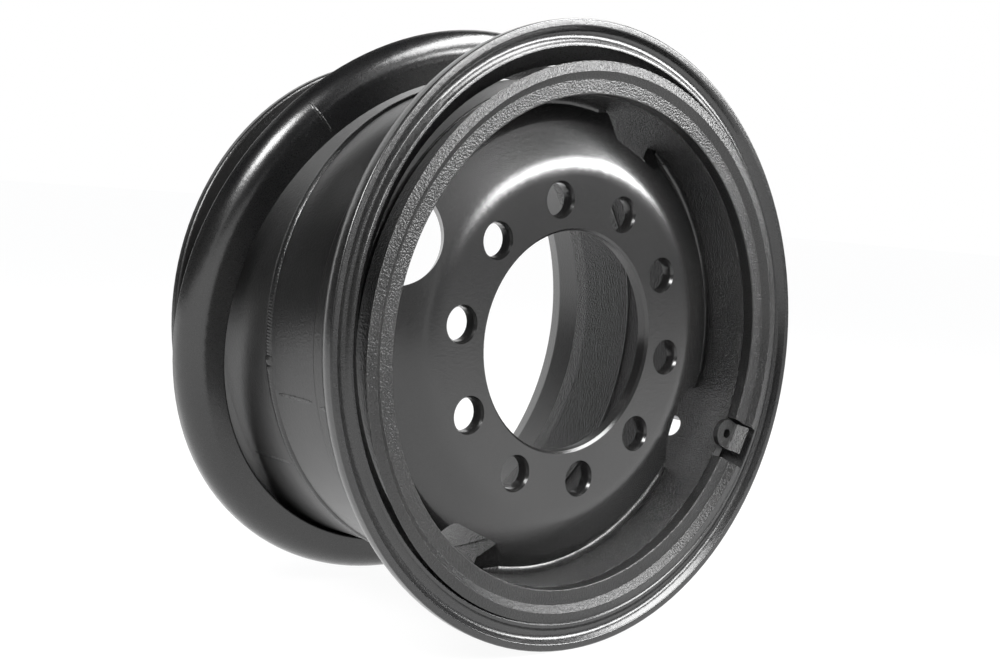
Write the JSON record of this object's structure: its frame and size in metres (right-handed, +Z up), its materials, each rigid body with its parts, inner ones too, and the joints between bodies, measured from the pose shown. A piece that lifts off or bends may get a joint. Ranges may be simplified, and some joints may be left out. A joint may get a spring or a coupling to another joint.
{
  "type": "multi-piece truck wheel rim",
  "caption": "Steel disc wheel rim with a stud-hole disc welded inside, two loose side rings, a split lock ring in the front gutter and a bent lug in the ring's gap.",
  "frame": {"origin": "centre of the hub face, the flat inboard face of the disc", "axes": "+Y inboard along the wheel's axis, from the hub face into the hub space, -Y outboard, +Z up as the wheel stands"},
  "size_m": [0.62, 0.3434, 0.6197],
  "materials": {
    "black_paint": "satin",
    "rough_black_paint": "satin"
  },
  "bodies": {
    "root": {"wheel_disc": "black_paint", "rim_gutter_section": "rough_black_paint", "rim_back_section": "rough_black_paint", "rim_seam_weld": "rough_black_paint", "disc_welds": "rough_black_paint", "lock_ring": "rough_black_paint", "front_side_ring": "black_paint", "rear_side_ring": "black_paint", "lock_ring_lug": "rough_black_paint"}
  },
  "joints": []
}
